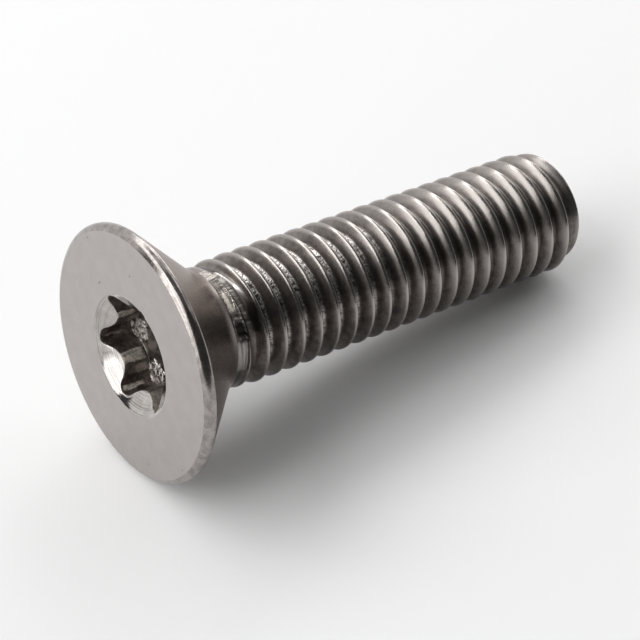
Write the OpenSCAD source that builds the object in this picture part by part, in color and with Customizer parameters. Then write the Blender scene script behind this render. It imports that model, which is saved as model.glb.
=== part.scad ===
// Countersunk machine screw, M5 x 0.8 x 20, with a six-lobe drive socket of size 25.
// One forged and rolled piece. It lies at rest on the edge of its head and on its thread,
// with the head towards -X and the tip towards +X, and the floor at Z = 0.
// Each module below is drawn with the screw upside down: Z = 0 is the flat face of the head
// and +Z runs along the axis to the tip. lay_down() then turns the whole screw over on its side.

/* [Head] */
// Largest diameter of the head
head_d = 9.84; // [8.6:0.02:11]
// Radial width of the bevel between the flat face and the rim
bevel_w = 0.26; // [0.05:0.01:0.4]
// Height of that bevel
bevel_h = 0.16; // [0.05:0.01:0.3]
// Height of the straight rim below the bevel
rim_h = 0.22; // [0.1:0.01:0.4]
// Full angle of the countersunk cone
cone_angle = 90; // [80:1:100]

/* [Shank] */
// Overall length, from the flat face to the tip
screw_len = 19.65; // [12:0.05:24]
// Diameter of the bare neck under the cone
neck_d = 4.4; // [4.1:0.02:4.6]
// Radius of the hollow curve between the cone and the neck
neck_fillet = 1.9; // [0.5:0.1:2.2]
// Length over which the neck falls to the root of the thread
neck_fall_len = 0.4; // [0.2:0.05:0.8]
// Diameter of the core at the tip, where the thread's root rises
tip_d = 4.1; // [3.9:0.02:4.2]
// Width and height of the small bevel around the core's end
tip_bevel = 0.08; // [0.02:0.01:0.15]

/* [Thread] */
// Outer diameter of the thread
thread_d = 4.87; // [4.8:0.01:5.4]
// Distance between neighbouring ridges
pitch = 0.8; // [0.6:0.05:0.9]
// Distance from the face to the ridge's centre where the ridge starts, under the screw
thread_start = 3.045; // [2.8:0.005:3.6]
// Turns over which the ridge rises to its full height
run_in_turns = 1.75; // [1:0.25:3]
// Length over which the ridge is bevelled at the tip
thread_bevel_len = 0.55; // [0.3:0.05:1.2]
// How far the ridge's top comes down over that length
thread_bevel_drop = 0.27; // [0.1:0.01:0.3]
// Distance from the tip at which the thread's root starts to rise
root_rise_len = 1; // [0.6:0.05:2]
// Flat sides that each turn is drawn with
turn_sides = 30; // [16:1:32]

/* [Socket] */
// Distance across the points of the six lobes
socket_points = 4.5; // [3.9:0.01:4.55]
// Distance across the valleys between the lobes
socket_valleys = 3.25; // [2.9:0.01:3.3]
// Radius at the end of each lobe
lobe_r = 0.375; // [0.34:0.005:0.4]
// Depth of the socket's straight walls, from the face
socket_depth = 1.5; // [1:0.05:1.8]
// Depth of the shallow cone that the punch leaves in the floor
punch_cone_h = 0.35; // [0.1:0.05:0.5]
// Diameter of the countersunk mouth on the face
mouth_d = 4.59; // [4.56:0.01:5.4]
// Full angle of the mouth's cone
mouth_angle = 116; // [90:1:130]
// How far the socket was punched off the screw's axis
socket_off = 0.196; // [0:0.002:0.2]
// Direction of that offset, from the side that the screw lies on
socket_off_dir = 205; // [0:1:360]
// Direction of one lobe, from the side that the screw lies on
lobe_dir = 13; // [0:1:59]

/* [Hidden] */
$fn = 96;

steel = [0.64, 0.62, 0.6];
flank_angle = 30;      // between a thread flank and a plane square to the axis
crest_share = 1 / 8;   // width of the ridge's flat top, as a share of the pitch
depth_share = 0.6134;  // depth of the thread, as a share of the pitch
sink = 0.12;           // how deep the ridge's base is buried in the shank
overrun_turns = 0.5;   // how far the ridge is drawn past the tip, before it is cut off there
neck_curve_steps = 9;  // straight steps that the hollow curve at the neck is drawn with
lobe_steps = 8;        // straight steps that each lobe and each valley of the socket is drawn with
overcut = 1;           // how far a cutter reaches out of the face

head_r = head_d / 2;
face_r = head_r - bevel_w;
neck_r = neck_d / 2;
crest_r = thread_d / 2;
root_r = crest_r - depth_share * pitch;
tip_r = tip_d / 2;
tip_face_r = tip_r - tip_bevel;

// The cone starts below the rim and would meet the neck's wall at cone_end.
cone_start = bevel_h + rim_h;
half_cone = cone_angle / 2;
cone_end = cone_start + (head_r - neck_r) / tan(half_cone);
// The hollow curve touches the cone and ends on the neck's wall at neck_start.
neck_start = cone_end + neck_fillet * tan(half_cone / 2);
neck_curve = [for (k = [0 : neck_curve_steps]) let (a = half_cone * (1 - k / neck_curve_steps))
    [neck_r + neck_fillet * (1 - cos(a)), neck_start - neck_fillet * sin(a)]];

// The ridge's centre passes the lying side once a turn, at thread_start + turn * pitch.
full_end = screw_len - thread_bevel_len;
last_station = ceil(((screw_len - thread_start) / pitch + overrun_turns) * turn_sides);
resting_turn = floor((full_end - thread_start) / pitch);

// The screw rests on the lower corner of its rim and on its last full ridge.
rest_z = thread_start + resting_turn * pitch + crest_share * pitch / 2;
rest_tilt = atan((head_r - crest_r) / (rest_z - cone_start));
lift = head_r * cos(rest_tilt) + cone_start * sin(rest_tilt);
middle_x = (screw_len * cos(rest_tilt) + (tip_face_r - face_r) * sin(rest_tilt)) / 2;

// Outer radius of the ridge: it rises out of the neck, runs level, then is bevelled at the tip.
function ridge_r(turn, z) =
    min(neck_r + (crest_r - neck_r) * min(1, turn / run_in_turns),
        crest_r - max(0, z - full_end) * thread_bevel_drop / thread_bevel_len);

// Half the ridge's width at radius r, where its outer radius is top.
function half_width(r, top) = crest_share * pitch / 2 + (top - r) * tan(flank_angle);

// The four corners of the ridge's section at one station along the helix.
function station(i) =
    let (turn = i / turn_sides, z = thread_start + turn * pitch, top = ridge_r(turn, z), base = root_r - sink,
         corners = [[base, -half_width(base, top)], [top, -half_width(top, top)],
                    [top, half_width(top, top)], [base, half_width(base, top)]])
    [for (c = corners) [c[0] * cos(360 * turn), c[0] * sin(360 * turn), z + c[1]]];

// Points along an arc, without the last one, where the next arc starts.
function arc(centre, r, from, to) =
    [for (k = [0 : lobe_steps - 1]) let (a = from + (to - from) * k / lobe_steps) centre + r * [cos(a), sin(a)]];

lobe_c = socket_points / 2 - lobe_r;
valley_r = (pow(lobe_r, 2) - pow(socket_valleys / 2, 2) - pow(lobe_c, 2) + socket_valleys * lobe_c * cos(30))
    / (socket_valleys - 2 * lobe_c * cos(30) - 2 * lobe_r);
valley_c = socket_valleys / 2 + valley_r;
// Angle at which a lobe's arc hands over to the valley's arc, seen from the lobe's centre.
hand_over = atan2(valley_c * sin(30), valley_c * cos(30) - lobe_c);

// One convex lobe of the socket's outline and the concave valley after it.
function lobe_and_valley() = concat(
    arc([lobe_c, 0], lobe_r, -hand_over, hand_over),
    arc(valley_c * [cos(30), sin(30)], valley_r, 180 + hand_over, 240 - hand_over));

// The body of the screw, turned about its axis, without its ridge.
module blank() {
    rotate_extrude()
        polygon(concat(
            [[0, 0], [face_r, 0], [head_r, bevel_h], [head_r, cone_start]],
            neck_curve,
            [[root_r, neck_start + neck_fall_len],
             [root_r, screw_len - root_rise_len],
             [tip_r, screw_len - tip_bevel],
             [tip_face_r, screw_len],
             [0, screw_len]]));
}

// The rolled ridge, swept along a right-hand helix past the tip.
module ridge() {
    points = [for (i = [0 : last_station]) each station(i)];
    sides = [for (i = [0 : last_station - 1], k = [0 : 3])
        let (a = 4 * i + k, b = 4 * i + (k + 1) % 4)
        each [[a, b, b + 4], [a, b + 4, a + 4]]];
    ends = [[3, 2, 1, 0], [for (k = [0 : 3]) 4 * last_station + k]];
    polyhedron(points, concat(ends, sides));
}

// The punched socket, with the cone that the punch leaves in its floor.
module socket_cutter() {
    rotate(socket_off_dir)
        translate([socket_off, 0, -overcut])
            rotate(lobe_dir - socket_off_dir) {
                linear_extrude(height = socket_depth + overcut)
                    polygon([for (n = [0 : 5], p = lobe_and_valley())
                        [p[0] * cos(60 * n) - p[1] * sin(60 * n), p[0] * sin(60 * n) + p[1] * cos(60 * n)]]);
                translate([0, 0, socket_depth + overcut])
                    cylinder(h = punch_cone_h, r1 = socket_valleys / 2, r2 = 0);
            }
}

// The mouth is cut true to the axis, after the socket was punched.
module mouth_cutter() {
    mouth_depth = mouth_d / 2 / tan(mouth_angle / 2);
    widening = 1 + overcut / mouth_depth;
    translate([0, 0, -overcut])
        cylinder(h = mouth_depth + overcut, r1 = mouth_d / 2 * widening, r2 = 0);
}

module lay_down() {
    translate([-middle_x, 0, lift])
        rotate([0, 90 + rest_tilt, 0])
            children();
}

module screw() {
    color(steel)
        lay_down()
            union() {
                difference() {
                    blank();
                    socket_cutter();
                    mouth_cutter();
                }
                intersection() {
                    ridge();
                    cylinder(h = screw_len, r = head_r);
                }
            }
}

screw();
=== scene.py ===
import math
import bpy
import numpy as np
from mathutils import Matrix, Vector


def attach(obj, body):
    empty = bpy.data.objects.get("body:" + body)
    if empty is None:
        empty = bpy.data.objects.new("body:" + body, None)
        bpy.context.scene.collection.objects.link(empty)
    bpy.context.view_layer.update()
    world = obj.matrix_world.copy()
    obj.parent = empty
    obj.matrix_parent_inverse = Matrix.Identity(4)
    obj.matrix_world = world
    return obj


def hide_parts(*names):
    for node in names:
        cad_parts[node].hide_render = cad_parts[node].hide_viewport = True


# A countersunk machine screw lying on its side: flat head with a six-lobe socket, hollow neck
# and rolled right-hand thread. It is built upright in millimetres, with the head's face at z = 0
# and the tip at z = 19.65, and is then laid down on the rim of its head and its last ridge.

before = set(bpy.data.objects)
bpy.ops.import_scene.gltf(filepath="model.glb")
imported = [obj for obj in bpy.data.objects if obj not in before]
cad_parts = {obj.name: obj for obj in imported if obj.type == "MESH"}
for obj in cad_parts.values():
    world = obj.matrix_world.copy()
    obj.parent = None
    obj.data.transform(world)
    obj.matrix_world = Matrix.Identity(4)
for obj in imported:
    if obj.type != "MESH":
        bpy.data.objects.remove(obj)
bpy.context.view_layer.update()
print("frame loaded")


# Wires and nodes, for shader and geometry trees alike

class Wire:
    def __init__(self, builder, socket):
        self.builder = builder
        self.socket = socket

    def maths(self, operation, *others):
        values = dict(enumerate((self,) + others))
        return self.builder.add("ShaderNodeMath", {"operation": operation}, values)

    def __add__(self, other):
        return self.maths("ADD", other)

    __radd__ = __add__

    def __sub__(self, other):
        return self.maths("SUBTRACT", other)

    def __rsub__(self, other):
        return self.maths("MULTIPLY", -1).maths("ADD", other)

    def __mul__(self, other):
        return self.maths("MULTIPLY", other)

    __rmul__ = __mul__

    def __truediv__(self, other):
        return self.maths("DIVIDE", other)

    def __abs__(self):
        return self.maths("ABSOLUTE")


class Builder:
    def __init__(self, tree):
        self.tree = tree
        tree.nodes.clear()

    def add(self, kind, settings=None, inputs=None, output=0):
        node = self.tree.nodes.new(kind)
        for name, value in (settings or {}).items():
            setattr(node, name, value)
        for key, value in (inputs or {}).items():
            if isinstance(value, Wire):
                self.tree.links.new(value.socket, node.inputs[key])
            else:
                node.inputs[key].default_value = value
        return Wire(self, node.outputs[output]) if len(node.outputs) else node

    def beside(self, wire, name):
        # another output of the same node
        return Wire(self, wire.socket.node.outputs[name])

    def step(self, value, low, high):
        # 0 below low, 1 above high, soft between them
        return self.add("ShaderNodeMapRange", {"interpolation_type": "SMOOTHSTEP"},
                        {"Value": value, "From Min": low, "From Max": high})

    def between(self, value, rise, fall, fallValue=None):
        # 1 between a soft rise and a soft fall, each given by where it starts and ends; the fall
        # may follow another value
        return self.step(value, *rise) * (1 - self.step(fallValue or value, *fall))

    def noise(self, place, scale, detail=3.0, roughness=0.55, distortion=0.0):
        return self.add("ShaderNodeTexNoise", {"noise_dimensions": "3D"},
                        {"Vector": place, "Scale": scale, "Detail": detail, "Roughness": roughness,
                         "Distortion": distortion})

    def stretch(self, place, x, y, z):
        return self.add("ShaderNodeVectorMath", {"operation": "MULTIPLY"}, {0: place, 1: (x, y, z)})

    def blend(self, amount, first, second):
        # mixes two colours
        first, second = (c if isinstance(c, Wire) else (*c, 1) for c in (first, second))
        return self.add("ShaderNodeMix", {"data_type": "RGBA"}, {0: amount, 6: first, 7: second}, 2)


# Sizes of the screw, in millimetres and degrees

head = {
    "radius": 4.92,
    # the rim's rounded profile, from the flat face to the cone: radius and height
    "rim": [(4.658, 0), (4.685, 0.004), (4.702, 0.016), (4.76, 0.048), (4.81, 0.083), (4.853, 0.125),
            (4.886, 0.17), (4.907, 0.215), (4.914, 0.26), (4.914, 0.345), (4.908, 0.37), (4.89, 0.41)],
    "flatRings": 2,          # rings of that profile that still belong to the face
    "lowRim": (4.92, 0.38),  # the rim's lower corner, which the screw rests on
    "halfCone": 45,
    "faceRings": (0.05, 0.25, 0.5, 0.75, 0.93, 0.985),  # from the mouth out to the rim
    "coneRows": (0.44, 2.46, 7),  # first and last height of the rows, and their number
}
neck = {
    "radius": 2.2,
    "curve": 1.9,            # radius of the hollow between cone and neck
    "hollowFrom": 2.54,      # height at which the hollow's closer rows start
    "hollowRows": 7,
    "hollowLeft": 0.05,      # how far before the lip they end
    "lip": 3.09,             # height of the small lip where the rolled part begins
    "lipFoot": 0.02,         # one more row this far before it
    # the lip's rounded step, as a share of its height over the neck and a distance along it
    "lipCurve": ((0.08, 0.012), (0.4, 0.022), (0.85, 0.032), (1, 0.042)),
    "collar": 2.31,          # radius of the part between the lip and the first groove
}
thread = {
    "radius": 2.435,
    "rootRadius": 1.944,
    "pitch": 0.8,
    "start": 3.045,          # height of the ridge's crest under the screw, where it begins
    "runInTurns": 1.75,      # over which the ridge rises
    "grooveTurns": 0.9,      # over which the groove after it sinks in
    "fullUntil": 19.1,
    "bevelDrop": 0.27,
    "bevelLength": 0.55,
    "crestHalf": 0.045,
    "flankAngle": 30,
    "crestRounding": 0.09,
    "sharpEdge": 0.012,      # the same on the side that faces the tip
    "rootRounding": 0.12,
    "sideChange": 0.02,      # half the width over which one side of a crest becomes the other
    "worn": (8, 14.5),       # heights between which the ridge turns rounder and the root shallower
    "wornRoot": 0.07,
    "wornEdge": 0.5,         # how far the tip side's edge takes the full rounding there
    "wornFlank": (0.5, 1.9),  # slope of the worn flank at its crest, and how fast it steepens
}
tip = {
    "length": 19.65,
    "coreRadius": 2.05,
    "faceRadius": 1.97,
    "riseLength": 1.0,       # over which the root rises to the core's radius
    "threadEnd": 0.06,       # how far before the tip the rolled rows end
    "corner": ((0.03, 0.06), (0.01, 0.1), (0, 0.155)),  # its rounding: height from the tip, inset
    "endRings": (0.93, 0.85, 0.72, 0.5, 0.25),
    "dish": 0.1,             # depth of the hollow in the end face
    "dishShare": 0.85,       # share of the core's radius that it reaches
}
drive = {
    "points": 4.46,          # across the lobes
    "valleys": 3.25,         # across the valleys between them
    "lobeRadius": 0.375,
    "depth": 1.5,
    "punch": 0.35,           # depth of the cone in the floor
    "mouth": 4.65,
    "mouthOffset": 0.03,
    "mouthAngle": 215,
    "halfMouth": 58,
    "leastMouth": 0.04,      # width that the mouth keeps beside a lobe
    "offset": 0.16,
    "offsetAngle": 205,
    "lobeAngle": 13,
    "floorRings": (0.12, 0.3, 0.48, 0.64, 0.78, 0.89),
    "footWidth": 0.045,      # of the rounding between floor and wall
    "footCurve": ((0.026, 0.041), (0.012, 0.033), (0.003, 0.018), (0, 0)),  # in from the wall, down
    "wallRings": (0.25, 0.5, 0.75, 1),
    "edgeDepth": 0.04,       # depth under the mouth at which the wall's upper edge starts to round
    "edgeCurve": ((0.004, 0.018), (0.014, 0.004)),  # out from the wall, down from the mouth
    "edgeWidth": 0.03,
    "mouthRings": (0, 0.25, 0.5, 0.75, 0.97),
    "mouthEdge": ((1.002, 0.003, "mouth"), (1.008, 0, "face")),  # scale, depth and zone
}
mesh = {
    "columns": 144,          # faces round the screw
    "lobeSteps": (20, 28),   # points along a lobe and along a valley
    # places of the rows from root over crest to root, in pitches
    "rows": (-0.445, -0.39, -0.33, -0.26, -0.19, -0.135, -0.095, -0.06, -0.03, 0, 0.03, 0.048, 0.058,
             0.07, 0.1, 0.18, 0.28, 0.36, 0.43, 0.5),
    "leastStep": 0.006,      # how near to an end ring a row may come
}
# Damage that both the shape and the finish show, as shares of a turn from the side that the screw
# lies on and as heights. Each pair says where a soft edge starts and ends.
damage = {
    "tearTurn": ((0.622, 0.64), (0.675, 0.682)),  # the ragged patch torn out of the collar
    "tearHeight": ((3.23, 3.27), (3.59, 3.67)),
    "tearDepth": 0.17,
    "ragged": 0.16,          # how far its edge wanders
    "burrStart": 2.75,       # height of the burr's line at share 0, and its rise in a turn
    "burrRise": 2.36,
    "burrTurn": ((0.455, 0.475), (0.56, 0.6)),
    # the burr's bright line is a painted highlight
    "burrHalf": 0.09,        # half its width as shape, and as bright line
    "burrHighlightHalf": 0.07,
    "burrHeight": 0.06,
    "rootsFrom": (3.85, 3.9),  # the torn roots of the first ridges, as they look
    "rootsUntil": (8, 12),
    "unevenUntil": (6, 11),  # the same as shape
    "uneven": 0.05,
}

# The screw lies on the lower corner of its rim and on the last full crest
restTurns = 20
restHeight = thread["start"] + restTurns * thread["pitch"] + thread["crestHalf"]
tilt = math.atan((head["lowRim"][0] - thread["radius"]) / (restHeight - head["lowRim"][1]))
lift = head["lowRim"][0] * math.cos(tilt) + head["lowRim"][1] * math.sin(tilt)
middle = (tip["length"] * math.cos(tilt) + (tip["faceRadius"] - head["rim"][0][0]) * math.sin(tilt)) / 2
turnDown = Matrix.Rotation(math.pi / 2 + tilt, 4, "Y")
moveDown = Vector((-middle, 0, lift))
millimetres = 1000
layDown = Matrix.Scale(1 / millimetres, 4) @ Matrix.Translation(moveDown) @ turnDown
zones = ["face", "rim", "cone", "thread", "wall", "floor", "mouth", "tip"]


def turnShare(x, y):
    return (y.maths("ARCTAN2", x) / (2 * math.pi) + 1).maths("FRACT")


def distance(x, y):
    return (x * x + y * y).maths("SQRT")


def tornOut(b, place, share, z):
    ragged = b.noise(place, 5, 3, 0.7) * damage["ragged"] - damage["ragged"] / 2
    return (b.between(share + ragged * 0.2, *damage["tearTurn"], share + ragged * 0.1)
            * b.between(z + ragged, *damage["tearHeight"]))


def burrAndHighlight(b, share, z, halfWidth):
    # where the burr stands: it raises the shape, and carries a painted highlight
    away = abs(z - share * damage["burrRise"] - damage["burrStart"]) / halfWidth
    return (1 - b.step(away, 0, 1)) * b.between(share, *damage["burrTurn"])


# Finishes. One set of values for each zone of the screw: two colours, the least and the most
# roughness, the scales of a coarse and a fine pattern, and the depth of the fine one.

finishes = {
    "face": {"light": (0.443, 0.415, 0.398), "dark": (0.414, 0.386, 0.369), "rough": (0.32, 0.4),
             "mottle": 1.6, "grain": 14, "bump": 0.001},
    "rim": {"light": (0.37, 0.344, 0.327), "dark": (0.247, 0.224, 0.212), "rough": (0.13, 0.24),
            "mottle": 3.2, "grain": 12, "bump": 0.002},
    "cone": {"light": (0.234, 0.209, 0.197), "dark": (0.19, 0.17, 0.159), "rough": (0.24, 0.32),
             "mottle": 0.8, "grain": 12, "bump": 0.001, "edge": (0.84, 0.78, 0.75)},
    "thread": {"light": (0.198, 0.176, 0.165), "dark": (0.125, 0.11, 0.102), "rough": (0.13, 0.22),
               "mottle": 3, "grain": 12, "bump": 0.0045},
    "wall": {"light": (0.37, 0.324, 0.296), "dark": (0.14, 0.121, 0.111), "rough": (0.34, 0.48),
             "mottle": 2.6, "grain": 9, "bump": 0.005},
    "floor": {"light": (0.17, 0.154, 0.142), "dark": (0.055, 0.049, 0.045), "rough": (0.25, 0.35),
              "mottle": 3, "grain": 8, "bump": 0.01},
    "mouth": {"light": (0.5, 0.474, 0.451), "dark": (0.38, 0.36, 0.34), "rough": (0.08, 0.13),
              "mottle": 2, "grain": 14, "bump": 0.001},
    "tip": {"light": (0.3, 0.282, 0.265), "dark": (0.2, 0.187, 0.175), "rough": (0.3, 0.45),
            "mottle": 2, "grain": 10, "bump": 0.006},
}
# colours of the marks on them, and of painted shade and painted highlights
shades = {
    "crest": (0.365, 0.338, 0.317),
    # painted shade in the thread's roots
    "rootShade": (0.05, 0.044, 0.041),
    "tornDark": (0.07, 0.061, 0.056),
    # the torn roots' pale crumbs, painted as glints
    "tornGlint": (0.98, 0.94, 0.9),
    "scratchDark": (0.15, 0.133, 0.122),
    "scratchPale": (0.55, 0.51, 0.47),
    "ringDark": (0.12, 0.112, 0.107),
    "ringPale": (0.3, 0.283, 0.272),
    "scraped": (0.85, 0.78, 0.68),
    # painted highlight along the burr
    "burrAndHighlight": (1, 0.97, 0.93),
    # painted shade in the torn hole, in the first groove and in the gap above the light patch
    "recessShade": (0.05, 0.042, 0.04),
    "nick": (0.12, 0.1, 0.09),
    "turnedDark": (0.28, 0.262, 0.248),
    # painted highlights on the socket's walls
    "stripHighlight": (1, 0.94, 0.86),
    # pale specks on the socket's floor, painted as glints
    "crumbGlint": (0.95, 0.9, 0.84),
}
# small nicks on the face: place, length, width and direction in degrees
nicks = [((-1.9, 2.155), 0.24, 0.05, 36), ((-3.35, 0.35), 0.16, 0.04, 20), ((-3.3, 3.08), 0.12, 0.05, 60),
         ((3.82, -1.68), 0.1, 0.05, 100), ((2.57, -3.73), 0.08, 0.07, 0), ((0.6, 3.4), 0.1, 0.03, 130)]
# pale strips painted on the socket's walls as highlights: first and last direction, from and to depth,
# level
highlightStrips = [(36.5, 51.5, 0.3, 1.4, 1), (14, 18, 0.25, 1.1, 1), (70.3, 71.8, 0.3, 1.1, 0.6),
          (104, 113, 0.2, 1.2, 0.8), (-44, -22, 0, 1.2, 0.45), (24, 33, 0.9, 1.4, 0.4)]
highlightStripSoft = (0.8, 0.1)  # half the width of a strip's soft edge, in degrees and in millimetres


class Steel:
    # one zone's bare metal: a point's place on the upright screw in millimetres, and the colour,
    # roughness and height there
    def __init__(self, b, look):
        backUp = turnDown.inverted()
        self.b = b
        self.place = b.add("ShaderNodeMapping", {"vector_type": "POINT"},
                           {"Vector": b.add("ShaderNodeTexCoord", output="Object"),
                            "Location": -(backUp @ moveDown), "Rotation": (0, -math.pi / 2 - tilt, 0),
                            "Scale": (millimetres,) * 3})
        parts = b.add("ShaderNodeSeparateXYZ", inputs={0: self.place})
        self.x, self.y, self.z = (b.beside(parts, name) for name in "XYZ")
        self.mottle = b.noise(self.place, look["mottle"], 4)
        self.grain = b.noise(self.place, look["grain"], 4, 0.65)
        self.colour = b.blend(b.step(self.mottle * 0.7 + self.grain * 0.3, 0.38, 0.62),
                              look["dark"], look["light"])
        self.rough = look["rough"][0] + self.grain * (look["rough"][1] - look["rough"][0])
        self.height = self.grain * look["bump"]

    def tint(self, amount, shade):
        self.colour = self.b.blend(amount, self.colour, shade)

    def patches(self, pattern, low, high, dark, pale):
        return self.b.blend(self.b.step(pattern, low, high), shades[dark], shades[pale])

    def turned(self, inputs):
        # fine lines that run round the screw
        return self.b.noise(self.b.add("ShaderNodeCombineXYZ", inputs=inputs), 1, 3, 0.6)

    def fromSocket(self):
        # x and y from the socket's middle, and the direction in degrees, from -60 to 300
        turn = math.radians(drive["offsetAngle"])
        x, y = self.x - drive["offset"] * math.cos(turn), self.y - drive["offset"] * math.sin(turn)
        return x, y, ((turnShare(x, y) + 1 / 6).maths("FRACT") - 1 / 6) * 360


# distances from a crest in pitches, shares of a turn, and amounts
ridgeLook = {
    "flank": (0.04, 0.16),       # where the pale crest ends
    # painted shade on the front side
    "front": (0.6, 0.68),        # it ends a little sooner on the side that faces the front
    "flankRough": 0.16,
    "wornSmooth": 0.03,
    # worn flanks are painted paler: partly their polish, partly a painted highlight held to the side
    # where light falls
    "polishHighlightLevel": 0.7,               # how pale a polished flank is
    "sheenBack": (0.39, 0.46),  # less at the back, in front and near the root
    "sheenFront": (0.57, 0.66),
    "polishRoot": (0.2, 0.36),
    # painted light: flanks are painted paler on both sides of the brightest wedge, by their place round
    # the screw
    "pale": 0.17,                # flanks are paler on both sides of the brightest wedge
    "wedge": 0.475,
    "wedgeHalf": (0.02, 0.05),
    "paleUntil": (0.64, 0.68),
    # painted shade in the roots: how dark, and how far from the crest it starts
    "rootShade": 0.4,
    "rootShadeFrom": (0.34, 0.45),
    "tornPhase": ((0.3, 0.36), (0.56, 0.68)),
    # the torn roots and their painted glints fade away from the top, where light falls
    "tornTop": (0.08, 0.18),     # faint beyond this distance from the top
}
# places on the collar, as shares of a turn and heights
collarLook = {
    "scratchedTurn": ((0.43, 0.47), (0.66, 0.7)),
    "scratchedHeight": ((3.14, 3.2), (3.2, 3.35)),
    "scratchedRise": 1.2,        # how far its upper edge rises in a turn
    "scraped": (0.578, 3.36),
    "scrapedFocus": (900, 40),   # how fast it ends along the turn and along the height
    "lightTurn": ((0.684, 0.69), (0.765, 0.78)),
    "lightHeight": ((3.13, 3.15), (3.53, 3.56)),
    # painted shadow in the first groove
    "grooveShadeTurn": ((0.595, 0.61), (0.675, 0.685)),
    "grooveShadeHeight": ((4.05, 4.08), (4.24, 4.28)),
    "gapTurn": ((0.685, 0.69), (0.77, 0.79)),
    "gapHeight": ((3.54, 3.57), (3.62, 3.66)),
}


def finishRidges(steel, share):
    # pale crests, dull flanks that are polished where the ridge is worn and carry a painted highlight on
    # the lit side, painted shade in the roots, and rough roots near the head with crumbs painted as
    # glints
    b, z = steel.b, steel.z
    ahead = (z - thread["start"]) / thread["pitch"] - share
    phase = ahead.maths("FRACT")  # 0 on a crest, 0.5 in the root, 1 on the next crest
    across = abs(ahead - ahead.maths("ROUND"))
    torn = b.noise(b.stretch(steel.place, 1, 1, 0.4), 5.5, 5, 0.7, 0.8)
    fine = b.noise(b.stretch(steel.place, 1, 1, 0.3), 20, 2, 0.6)
    firstRoots = b.step(z - share * thread["pitch"], *damage["rootsFrom"]) * (
        1 - b.step(z, *damage["rootsUntil"]))
    # the torn roots and their painted glints fade away from the top, where light falls
    topFade = b.step(abs(share - 0.5), *ridgeLook["tornTop"]) * 0.75
    tornPart = b.between(phase, *ridgeLook["tornPhase"]) * firstRoots * (1 - topFade)
    worn = b.step(z, *thread["worn"])
    # painted shade: the pale crest ends a little sooner on the side that faces the front
    flank = b.step(across + b.step(share, *ridgeLook["front"]) * 0.05, *ridgeLook["flank"])
    # the worn flanks' polish with a painted highlight: kept off the back and the front, where less light
    # falls, and less near the root
    shadedFront = b.step(share, *ridgeLook["sheenFront"]) * b.step(across, 0.05, 0.3)
    sheenTowardsTop = 0.25 + b.step(share, *ridgeLook["sheenBack"]) * 0.75
    dullRoot = 1 - b.step(across, *ridgeLook["polishRoot"]) * 0.75
    polishAndHighlight = worn * (1 - shadedFront) * sheenTowardsTop * dullRoot
    # painted light: flanks paler on both sides of the brightest wedge, until the front
    paintedPaler = (b.step(abs(share - ridgeLook["wedge"]), *ridgeLook["wedgeHalf"])
             * (1 - b.step(share, *ridgeLook["paleUntil"])) * ridgeLook["pale"])
    crumbsAndGlints = torn * 0.65 + fine * 0.35
    steel.colour = b.blend(flank * (1 - polishAndHighlight * ridgeLook["polishHighlightLevel"]) * (1 - paintedPaler),
                           shades["crest"], steel.colour)
    # painted shade in the roots
    steel.tint(b.step(across, *ridgeLook["rootShadeFrom"]) * ridgeLook["rootShade"], shades["rootShade"])
    # the torn roots' crumbs: dark, and pale where they are painted as glints
    steel.tint(tornPart, steel.patches(crumbsAndGlints, 0.44, 0.54, "tornDark", "tornGlint"))
    steel.height = steel.height + tornPart * (torn * 0.035 + fine * 0.009)
    steel.rough = (steel.rough + flank * (1 - tornPart) * ridgeLook["flankRough"]
                   - worn * ridgeLook["wornSmooth"])


def finishCollar(steel, share):
    # scratched, with a painted highlight along the burr, a pale scraped patch, a light patch with fine
    # rings, and painted black shade in the torn hole, in the first groove and in a gap above the patch
    b, z = steel.b, steel.z
    chatter = b.noise(b.stretch(steel.place, 1, 1, 0.12), 9, 4, 0.65, 0.3)
    edge = b.noise(steel.place, 4, 3, 0.65) - 0.5
    scratched = (b.between(z, *collarLook["scratchedHeight"], z - share * collarLook["scratchedRise"])
                 * b.between(share, *collarLook["scratchedTurn"], share + chatter * 0.06))
    along, above = share - collarLook["scraped"][0], z - collarLook["scraped"][1] - edge * 0.12
    focus, focusAbove = collarLook["scrapedFocus"]
    scrapedReach = (along * along * focus + above * above * focusAbove).maths("SQRT")
    scraped = 1 - b.step(scrapedReach + edge * 0.4, 0.75, 1)
    lightPatch = (b.between(share + edge * 0.01, *collarLook["lightTurn"], share + edge * 0.03)
                  * b.between(z, *collarLook["lightHeight"], z + edge * 0.04))
    # painted shadow in the first groove
    grooveShade = (b.between(share + edge * 0.02, *collarLook["grooveShadeTurn"])
               * b.between(z + edge * 0.2, *collarLook["grooveShadeHeight"]))
    # painted shade in the gap above the light patch
    gap = (b.between(share, *collarLook["gapTurn"])
           * b.between(z + edge * 0.04, *collarLook["gapHeight"], z + edge * 0.06))
    rings = steel.turned({0: share * 9, 2: z * 26})
    # painted shade in the torn hole, the first groove and the gap
    recessShade = tornOut(b, steel.place, share, z).maths("MAXIMUM", grooveShade * 0.8).maths("MAXIMUM", gap)
    steel.tint(scratched, steel.patches(chatter, 0.38, 0.62, "scratchDark", "scratchPale"))
    steel.tint(lightPatch, steel.patches(rings, 0.35, 0.6, "ringDark", "ringPale"))
    steel.tint(scraped * 0.9, shades["scraped"])
    # painted highlight along the burr
    steel.tint(burrAndHighlight(b, share, z, damage["burrHighlightHalf"]), shades["burrAndHighlight"])
    steel.tint(recessShade, shades["recessShade"])
    steel.height = steel.height + scratched * (1 - scraped * 0.7) * chatter * 0.05


def finishThread(steel):
    share = turnShare(steel.x, steel.y)
    finishRidges(steel, share)
    finishCollar(steel, share)


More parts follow.
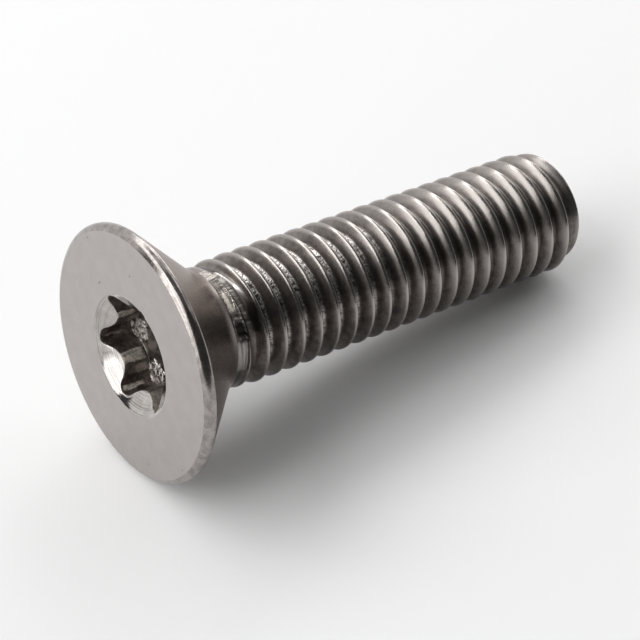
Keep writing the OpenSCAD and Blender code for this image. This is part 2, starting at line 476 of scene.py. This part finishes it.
def finishFace(steel):
    # flat, with a few small dark nicks
    marks = 0
    for (nickX, nickY), length, width, turn in nicks:
        c, d = math.cos(math.radians(turn)), math.sin(math.radians(turn))
        x, y = steel.x - nickX, steel.y - nickY
        away = distance((x * c + y * d) / length, (y * c - x * d) / width)
        marks = 1 - steel.b.step(away, 0.3, 0.6) + marks
    steel.tint(marks * 0.8, shades["nick"])
    steel.height = steel.height - marks * 0.004


def finishMouth(steel):
    # bright, with turned lines
    radius, share = distance(steel.x, steel.y), turnShare(steel.x, steel.y)
    lines = steel.turned({0: radius * 26, 1: share * 5, 2: steel.z})
    steel.colour = steel.b.blend(steel.b.step(lines, 0.36, 0.5), shades["turnedDark"], steel.colour)
    steel.height = steel.height + lines * 0.0018


def finishWall(steel):
    # drawn downwards, with pale strips painted on as highlights
    b = steel.b
    drawn = b.noise(b.stretch(steel.place, 1, 1, 0.15), 12, 3, 0.6)
    direction = steel.fromSocket()[2] + (steel.mottle - 0.5) * 8
    turnSoft, depthSoft = highlightStripSoft
    # pale strips painted on as highlights
    pale = 0
    for first, last, top, foot, level in highlightStrips:
        sides = ((edge - turnSoft, edge + turnSoft) for edge in (first, last))
        ends = ((edge - depthSoft, edge + depthSoft) for edge in (top, foot))
        pale = b.between(direction, *sides) * b.between(steel.z, *ends) * level + pale
    pale = pale * (0.4 + b.step(drawn * 0.4 + steel.grain * 0.6, 0.4, 0.58) * 0.6)
    steel.tint(pale, shades["stripHighlight"])
    steel.rough = steel.rough + pale * 0.3
    steel.height = steel.height + drawn * 0.015


def finishFloor(steel):
    # dark, with crumbly corners at the foot of each lobe whose bright specks are painted glints
    b = steel.b
    x, y, direction = steel.fromSocket()
    fromLobe = abs(((direction - drive["lobeAngle"] + 30) / 60).maths("FRACT") - 0.5) * 60
    foot = b.noise(steel.place, 4, 2, 0.6) * 0.4 - 0.2
    burst = b.step(distance(x, y) + foot, 1.3, 1.45) * (1 - b.step(fromLobe + foot * 30, 12, 17))
    crumbsAndGlints = b.noise(steel.place, 6, 4, 0.7, 0.8)
    # the crumbs' pale specks are painted glints
    steel.tint(burst * b.step(crumbsAndGlints, 0.42, 0.56), shades["crumbGlint"])
    steel.height = steel.height + burst * crumbsAndGlints * 0.07


details = {"thread": finishThread, "face": finishFace, "mouth": finishMouth, "wall": finishWall,
           "floor": finishFloor}


def makeFinish(zone):
    look = finishes[zone]
    material = bpy.data.materials.new("steel" + zone.capitalize())
    material.use_nodes = True
    b = Builder(material.node_tree)
    steel = Steel(b, look)
    if zone in details:
        details[zone](steel)
    bump = b.add("ShaderNodeBump",
                 inputs={"Strength": 1.0, "Distance": 1 / millimetres, "Height": steel.height})
    metal = b.add("ShaderNodeBsdfPrincipled",
                  inputs={"Base Color": steel.colour, "Roughness": steel.rough, "Normal": bump,
                          "Metallic": 1.0, "Specular Tint": (*look.get("edge", (1, 1, 1)), 1)})
    b.add("ShaderNodeOutputMaterial", inputs={"Surface": metal})
    return material


materials = [makeFinish(zone) for zone in zones]
print("finishes:", len(materials))


# The blank: one closed mesh with the head, the socket and a plain shank. The shank's rows run
# round it in a helix, so that the crest and the root of the thread follow them.

class BlankMesh:
    def __init__(self):
        self.points, self.rolled, self.inset = [], [], []
        self.faces, self.zones = [], []

    def ring(self, points, rolled=0.0, inset=0.0):
        # rolled is 1 where the thread may move the points, inset how far it leaves them further in
        first = len(self.points)
        self.points.extend(tuple(map(float, p)) for p in points)
        self.rolled.extend([rolled] * len(points))
        self.inset.extend([inset] * len(points))
        return list(range(first, len(self.points)))

    def face(self, corners, zone):
        kept = [c for i, c in enumerate(corners) if c != corners[i - 1]]
        if len(kept) > 2:
            self.faces.append(kept)
            self.zones.append(zones.index(zone))

    def band(self, before, after, zone):
        # faces between two rings, of which the first may have twice as many points
        count, double = len(after), len(before) // len(after)
        for j in range(count):
            a, b = after[j], after[(j + 1) % count]
            start = j * double
            for step in range(double - 1):
                self.face((before[start + step], before[start + step + 1], a), zone)
            self.face((before[start + double - 1], before[(start + double) % len(before)], b, a), zone)

    def fan(self, ring, centre, zone):
        for j in range(len(ring)):
            self.face((ring[j], ring[(j + 1) % len(ring)], centre), zone)


columns = mesh["columns"]
halfCone = math.tan(math.radians(head["halfCone"]))
curveEnd = (head["lowRim"][1] + (head["radius"] - neck["radius"]) / halfCone
            + neck["curve"] * math.tan(math.radians(head["halfCone"] / 2)))
curveDrop = neck["curve"] * math.sin(math.radians(head["halfCone"]))


def circle(radius, z):
    turn = np.arange(columns) * 2 * np.pi / columns
    return np.c_[radius * np.cos(turn), radius * np.sin(turn), np.full(columns, z)]


def plainRadius(z):
    # cone and hollow curve up to the lip, then the root of the thread and its rise at the tip
    if z > neck["lip"]:
        rise = min(1, max(0, (z - tip["length"] + tip["riseLength"]) / tip["riseLength"]))
        return thread["rootRadius"] + (tip["coreRadius"] - thread["rootRadius"]) * rise
    drop = curveEnd - z
    if drop > curveDrop:
        return head["radius"] - (z - head["lowRim"][1]) * halfCone
    return neck["radius"] + neck["curve"] - math.sqrt(neck["curve"] ** 2 - drop ** 2)


def lobeOutline():
    # points on the socket's outline and the directions that lead out of it there
    lobeR = drive["lobeRadius"]
    lobeC = drive["points"] / 2 - lobeR
    low = drive["valleys"] / 2
    cos30 = math.cos(math.radians(30))
    valleyR = ((lobeR ** 2 - low ** 2 - lobeC ** 2 + 2 * low * lobeC * cos30)
               / (2 * low - 2 * lobeC * cos30 - 2 * lobeR))
    valleyC = low + valleyR
    handOver = math.atan2(valleyC * 0.5, valleyC * cos30 - lobeC)
    # a lobe and the valley after it: direction and distance of the arc's centre, radius, first
    # and last angle, number of steps, and 1 or -1 for an arc that is convex or concave
    arcs = ((0, lobeC, lobeR, -handOver, handOver, mesh["lobeSteps"][0], 1),
            (math.pi / 6, valleyC, valleyR, math.pi + handOver, math.pi * 4 / 3 - handOver,
             mesh["lobeSteps"][1], -1))
    points, outward = [], []
    for lobe in range(6):
        base = math.radians(drive["lobeAngle"] + 60 * lobe)
        for centreAngle, reach, radius, first, last, steps, sign in arcs:
            centre = reach * np.array([math.cos(base + centreAngle), math.sin(base + centreAngle)])
            for step in range(steps):
                turn = base + first + (last - first) * step / steps
                direction = np.array([math.cos(turn), math.sin(turn)])
                points.append(centre + radius * direction)
                outward.append(sign * direction)
    # the list starts where the outline is nearest to angle 0, as every ring does
    start = int(np.argmin(np.abs(np.arctan2(*np.array(points).T[::-1]))))
    return np.roll(points, -start, 0), np.roll(outward, -start, 0)


def buildSocket(blank):
    # from the middle of the floor up the walls, over the mouth and out across the face
    centre, mouthCentre = (drive[reach] * np.array([math.cos(math.radians(drive[turn])),
                                                    math.sin(math.radians(drive[turn]))])
                           for reach, turn in (("offset", "offsetAngle"), ("mouthOffset", "mouthAngle")))
    outline, outward = lobeOutline()
    mouthR = drive["mouth"] / 2
    mouthSlope = math.tan(math.radians(drive["halfMouth"]))
    rings = []

    def coneDepth(flat):
        return np.maximum(0, (mouthR - np.linalg.norm(flat - mouthCentre, axis=1)) / mouthSlope)

    def floorRing(flat):
        away = np.linalg.norm(flat, axis=1)
        dip = drive["punch"] * np.clip(1 - away / (drive["valleys"] / 2), 0, 1)
        return np.c_[centre + flat, drive["depth"] + dip]

    def level(flat, depth):
        return np.c_[flat, np.broadcast_to(depth, len(flat))]

    for share in drive["floorRings"]:
        rings.append((floorRing(outline * share), "floor"))
    rings.append((floorRing(outline - drive["footWidth"] * outward), "floor"))
    edge = centre + outline
    top = coneDepth(edge)
    foot = drive["depth"] - drive["footWidth"]
    for back, down in drive["footCurve"]:
        rings.append((level(edge - back * outward, foot + down), "floor"))
    for share in drive["wallRings"]:
        rings.append((level(edge, foot + (top + drive["edgeDepth"] - foot) * share), "wall"))
    for out, down in drive["edgeCurve"]:
        rings.append((level(edge + out * outward, top + down), "wall"))
    start = edge + drive["edgeWidth"] * outward
    away = np.linalg.norm(edge - mouthCentre, axis=1)
    mouthReach = np.maximum(mouthR, away + drive["leastMouth"])
    mouth = mouthCentre + (edge - mouthCentre) / away[:, None] * mouthReach[:, None]
    for share in drive["mouthRings"]:
        flat = start + (mouth - start) * share
        rings.append((level(flat, coneDepth(flat)), "mouth"))
    for scale, depth, zone in drive["mouthEdge"]:
        rings.append((level(mouth * scale, depth), zone))
    previous = blank.ring(rings[0][0])
    middlePoint = blank.ring([(*centre, drive["depth"] + drive["punch"])])[0]
    for j in range(len(previous)):
        blank.face((middlePoint, previous[(j + 1) % len(previous)], previous[j]), "floor")
    for ring, zone in rings[1:]:
        current = blank.ring(ring)
        blank.band(previous, current, zone)
        previous = current
    # the face goes on with half as many points
    inner = rings[-1][0][::2]
    outer = circle(head["rim"][0][0], 0)
    for share in head["faceRings"]:
        current = blank.ring(inner + (outer - inner) * share)
        blank.band(previous, current, "face")
        previous = current
    return previous


def buildHead(blank, previous):
    # rim, cone and hollow, up to the lip
    for i, (radius, z) in enumerate(head["rim"]):
        current = blank.ring(circle(radius, z))
        blank.band(previous, current, "face" if i < head["flatRings"] else "rim")
        previous = current
    lip = neck["lip"]
    coneHeights = np.linspace(*head["coneRows"])
    hollowHeights = np.linspace(neck["hollowFrom"], lip - neck["hollowLeft"], neck["hollowRows"])
    for z in (*coneHeights, *hollowHeights, lip - neck["lipFoot"], lip):
        current = blank.ring(circle(plainRadius(z), z))
        blank.band(previous, current, "cone")
        previous = current
    neckRadius = plainRadius(lip)
    for share, z in neck["lipCurve"]:
        current = blank.ring(circle(neckRadius + (neck["collar"] - neckRadius) * share, lip + z))
        blank.band(previous, current, "cone" if share < 1 else "thread")
        previous = current
    return previous, lip + neck["lipCurve"][-1][1]


def buildShank(blank, startRing, low, high):
    # a row of the helix that would pass a level ring ends on it
    endRing = blank.ring(circle(plainRadius(high), high), rolled=1.0)
    offsets = mesh["rows"]
    count = len(offsets)
    known = {}

    def corner(row, column):
        if row == count:
            row, column = 0, column + columns
        z = thread["start"] + thread["pitch"] * (column / columns + offsets[row])
        if z < low + mesh["leastStep"]:
            return startRing[column % columns]
        if z > high - mesh["leastStep"]:
            return endRing[column % columns]
        if (row, column) not in known:
            turn = 2 * math.pi * (column % columns) / columns
            radius = plainRadius(z)
            point = (radius * math.cos(turn), radius * math.sin(turn), z)
            known[row, column] = blank.ring([point], rolled=1.0)[0]
        return known[row, column]

    first = math.floor((low - thread["start"]) / thread["pitch"] - 1) * columns
    last = math.ceil((high - thread["start"]) / thread["pitch"] + 1) * columns
    for column in range(first, last):
        for row in range(count):
            blank.face((corner(row, column), corner(row, column + 1),
                        corner(row + 1, column + 1), corner(row + 1, column)), "thread")
    return endRing


def buildTip(blank, previous):
    length, core = tip["length"], tip["coreRadius"]
    for back, inset in tip["corner"]:
        current = blank.ring(circle(core, length - back), 1.0, inset)
        blank.band(previous, current, "thread")
        previous = current
    for share in tip["endRings"]:
        dish = tip["dish"] * max(0, 1 - (share / tip["dishShare"]) ** 2)
        current = blank.ring(circle(core * share, length - dish))
        blank.band(previous, current, "tip")
        previous = current
    blank.fan(previous, blank.ring([(0, 0, length - tip["dish"])])[0], "tip")


blank = BlankMesh()
edgeRing = buildSocket(blank)
neckRing, shankStart = buildHead(blank, edgeRing)
endRing = buildShank(blank, neckRing, shankStart, tip["length"] - tip["threadEnd"])
buildTip(blank, endRing)
blankMesh = bpy.data.meshes.new("screwBlank")
blankMesh.from_pydata(blank.points, [], blank.faces)
for material in materials:
    blankMesh.materials.append(material)
for name, values in (("rolled", blank.rolled), ("inset", blank.inset)):
    blankMesh.attributes.new(name, "FLOAT", "POINT").data.foreach_set("value", values)
blankMesh.attributes.new("zone", "INT", "FACE").data.foreach_set("value", blank.zones)
blankMesh.polygons.foreach_set("use_smooth", [True] * len(blank.faces))
blankMesh.update()
screwBlank = bpy.data.objects.new("screwBlank", blankMesh)
bpy.context.scene.collection.objects.link(screwBlank)
print("blank:", len(blank.points), "points,", len(blank.faces), "faces")


# The thread: Geometry Nodes lift the ridge out of the blank

def threadTree():
    tree = bpy.data.node_groups.new("rolledThread", "GeometryNodeTree")
    tree.interface.new_socket("Geometry", in_out="INPUT", socket_type="NodeSocketGeometry")
    sizes = {"Pitch": thread["pitch"], "Start": thread["start"], "Crest radius": thread["radius"],
             "Collar radius": neck["collar"], "Run-in turns": thread["runInTurns"],
             "Groove turns": thread["grooveTurns"], "Full until": thread["fullUntil"],
             "Bevel slope": thread["bevelDrop"] / thread["bevelLength"],
             "Crest half": thread["crestHalf"],
             "Flank slope": 1 / math.tan(math.radians(thread["flankAngle"])),
             "Crest rounding": thread["crestRounding"], "Root rounding": thread["rootRounding"],
             "Tear depth": damage["tearDepth"], "Torn root": damage["uneven"],
             "Worn from": thread["worn"][0], "Worn until": thread["worn"][1],
             "Worn root": thread["wornRoot"], "Worn edge": thread["wornEdge"],
             "Worn slope": thread["wornFlank"][0], "Worn bend": thread["wornFlank"][1],
             "Sharp edge": thread["sharpEdge"], "Burr": damage["burrHeight"]}
    for name in sizes:
        tree.interface.new_socket(name, in_out="INPUT", socket_type="NodeSocketFloat")
    tree.interface.new_socket("Geometry", in_out="OUTPUT", socket_type="NodeSocketGeometry")
    b = Builder(tree)
    entry = b.add("NodeGroupInput")
    size = {name: b.beside(entry, name) for name in sizes}
    place = b.add("GeometryNodeInputPosition")
    parts = b.add("ShaderNodeSeparateXYZ", inputs={0: place})
    x, y, z = (b.beside(parts, name) for name in "XYZ")
    radius, share = distance(x, y), turnShare(x, y)
    ahead = (z - size["Start"]) / size["Pitch"] - share
    nearest = ahead.maths("ROUND").maths("MAXIMUM", 0)
    beside = abs(ahead - nearest) * size["Pitch"]
    grown = ((nearest + share) / size["Run-in turns"]).maths("MINIMUM", 1)
    full = size["Collar radius"] + grown * (size["Crest radius"] - size["Collar radius"])
    bevelled = size["Crest radius"] - (z - size["Full until"]).maths("MAXIMUM", 0) * size["Bevel slope"]
    top = full.maths("MINIMUM", bevelled)
    # towards the tip the ridge is worn, most of all the flank that faces the head
    change = thread["sideChange"]
    worn = b.step(z, size["Worn from"], size["Worn until"])
    headSide = b.step(nearest - ahead, -change, change)
    roundness = headSide.maths("MAXIMUM", worn * size["Worn edge"])
    rounding = size["Sharp edge"] + roundness * (size["Crest rounding"] - size["Sharp edge"])
    drop = (beside - size["Crest half"]).maths("SMOOTH_MAX", 0, rounding) * size["Flank slope"]
    wornDrop = beside * (size["Worn slope"] + beside * size["Worn bend"])
    ridge = top - drop - (wornDrop - drop) * worn * headSide
    # before the first crest the collar stands, after it the groove sinks in
    turns = ahead.maths("FLOOR") + share
    sunk = b.step(turns, 0, size["Groove turns"]) * b.step(ahead, -change, change)
    core = size["Collar radius"] + sunk * (radius - size["Collar radius"])
    # uneven roots near the neck, shallower ones where the ridge is worn
    torn = b.noise(place, 4.5, 3, 0.6) - 0.5
    uneven = torn * size["Torn root"] * sunk * (1 - b.step(z, *damage["unevenUntil"]))
    core = core + uneven + worn * size["Worn root"]
    rolled, inset = (b.add("GeometryNodeInputNamedAttribute", {"data_type": "FLOAT"}, {"Name": name})
                     for name in ("rolled", "inset"))
    wanted = (core.maths("SMOOTH_MAX", ridge, size["Root rounding"]) - inset
              + burrAndHighlight(b, share, z, damage["burrHalf"]) * size["Burr"]
              - tornOut(b, place, share, z) * size["Tear depth"])
    factor = 1 + rolled * (wanted / radius - 1)
    lifted = b.add("ShaderNodeCombineXYZ", inputs={0: x * factor, 1: y * factor, 2: z})
    shape = b.add("GeometryNodeSetPosition", inputs={"Geometry": entry, "Position": lifted})
    shape = b.add("GeometryNodeRealizeInstances", inputs={"Geometry": shape})
    zone = b.add("GeometryNodeInputNamedAttribute", {"data_type": "INT"}, {"Name": "zone"})
    for index, material in enumerate(materials):
        here = b.add("FunctionNodeCompare", {"data_type": "INT", "operation": "EQUAL"},
                     {2: zone, 3: index})
        shape = b.add("GeometryNodeSetMaterial",
                      inputs={"Geometry": shape, "Selection": here, "Material": material})
    b.add("NodeGroupOutput", inputs={0: shape})
    return tree, sizes


tree, sizes = threadTree()
modifier = screwBlank.modifiers.new("rolledThread", "NODES")
modifier.node_group = tree
for socket in tree.interface.items_tree:
    if socket.item_type == "SOCKET" and socket.in_out == "INPUT" and socket.name in sizes:
        modifier[socket.identifier] = float(sizes[socket.name])
graph = bpy.context.evaluated_depsgraph_get()
screwMesh = bpy.data.meshes.new_from_object(screwBlank.evaluated_get(graph), depsgraph=graph)
screwMesh.name = "screwBody"
screwMesh.transform(layDown)
screwBody = bpy.data.objects.new("screwBody", screwMesh)
bpy.context.scene.collection.objects.link(screwBody)
screwBlank.modifiers.clear()
bpy.data.objects.remove(screwBlank)
bpy.data.meshes.remove(blankMesh)
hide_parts("screw")
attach(screwBody, "root")
triangles = sum(len(p.vertices) - 2 for p in screwMesh.polygons)
print("thread rolled:", len(screwMesh.vertices), "points,", triangles, "triangles")


# Floor, lamps and camera. A lamp's place is azimuth from +X towards +Y and elevation, its level
# is the brightness of the panel itself, where 1 is white, and its size is in metres.

stage = {
    "floorHalf": 2,
    "paper": (0.95, 0.95, 0.95),
    "paperRough": 0.9,
    "lampDistance": 0.5,
    "sky": 0.06,
}
lamps = {
    "windowHigh": {"place": (142, 48), "size": (0.3, 0.25), "level": 3},
    "windowTop": {"place": (182, 43), "size": (0.22, 0.28), "level": 2.55},
    "windowLow": {"place": (169, 19), "size": (0.25, 0.28), "level": 2.87},
    "windowEdge": {"place": (190, 16), "size": (0.16, 0.26), "level": 1.78},
    "backHigh": {"place": (92, 47.5), "size": (0.4, 0.14), "level": 3.24},
    "topBack": {"place": (80, 70), "size": (0.3, 0.16), "level": 0.86},
    "backPanel": {"place": (50, 33), "size": (0.2, 0.16), "level": 2.67},
    "backWall": {"place": (90, 18.5), "size": (1.1, 0.36), "level": 1},
    "rightPanel": {"place": (30, 12), "size": (0.2, 0.2), "level": 3.4},
    "rightHigh": {"place": (20, 47), "size": (0.3, 0.2), "level": 1.16},
    "rightTop": {"place": (-17, 46), "size": (0.26, 0.18), "level": 0.67},
    "rightWall": {"place": (0, 15), "size": (0.45, 0.3), "level": 0.44},
    "ceiling": {"place": (0, 90), "size": (0.45, 0.45), "level": 0.12},
}
camera = {
    "place": (-0.04406491, -0.05871494, 0.06712293),
    "target": (-0.00141582, -0.00042895, 0.00267513),
    "lens": 144.579,
    "sensor": 36,
    "roll": 0.19,
    "clip": (0.005, 10),
}


def makeFloor():
    half = stage["floorHalf"]
    corners = [(-half, -half, 0), (half, -half, 0), (half, half, 0), (-half, half, 0)]
    floorMesh = bpy.data.meshes.new("studioFloor")
    floorMesh.from_pydata(corners, [], [(0, 1, 2, 3)])
    floor = bpy.data.objects.new("studioFloor", floorMesh)
    bpy.context.scene.collection.objects.link(floor)
    material = bpy.data.materials.new("paleFloor")
    material.use_nodes = True
    b = Builder(material.node_tree)
    paper = b.add("ShaderNodeBsdfPrincipled",
                  inputs={"Base Color": (*stage["paper"], 1), "Roughness": stage["paperRough"]})
    b.add("ShaderNodeOutputMaterial", inputs={"Surface": paper})
    floorMesh.materials.append(material)


def makeLamp(name, place, size, level):
    turn, rise = (math.radians(angle) for angle in place)
    towards = Vector((math.cos(turn) * math.cos(rise), math.sin(turn) * math.cos(rise), math.sin(rise)))
    data = bpy.data.lights.new(name, "AREA")
    data.shape = "RECTANGLE"
    data.size, data.size_y = size
    data.energy = level * math.pi * size[0] * size[1]
    lamp = bpy.data.objects.new(name, data)
    lamp.location = towards * stage["lampDistance"]
    lamp.rotation_euler = towards.to_track_quat("Z", "Y").to_euler()
    bpy.context.scene.collection.objects.link(lamp)


def makeSky():
    world = bpy.data.worlds.new("studio")
    bpy.context.scene.world = world
    world.use_nodes = True
    b = Builder(world.node_tree)
    sky = b.add("ShaderNodeBackground", inputs={"Color": (1, 1, 1, 1), "Strength": stage["sky"]})
    b.add("ShaderNodeOutputWorld", inputs={"Surface": sky})


def makeCamera():
    data = bpy.data.cameras.new("camera")
    data.lens = camera["lens"]
    data.sensor_width = camera["sensor"]
    data.clip_start, data.clip_end = camera["clip"]
    cameraObject = bpy.data.objects.new("camera", data)
    cameraObject.location = camera["place"]
    look = Vector(camera["target"]) - Vector(camera["place"])
    roll = Matrix.Rotation(math.radians(-camera["roll"]), 4, "Z").to_quaternion()
    cameraObject.rotation_mode = "QUATERNION"
    cameraObject.rotation_quaternion = look.to_track_quat("-Z", "Y") @ roll
    bpy.context.scene.collection.objects.link(cameraObject)
    bpy.context.scene.camera = cameraObject


makeFloor()
for name, values in lamps.items():
    makeLamp(name, **values)
makeSky()
makeCamera()
bpy.context.scene.view_settings.view_transform = "Standard"
print("stage, lamps and camera set")
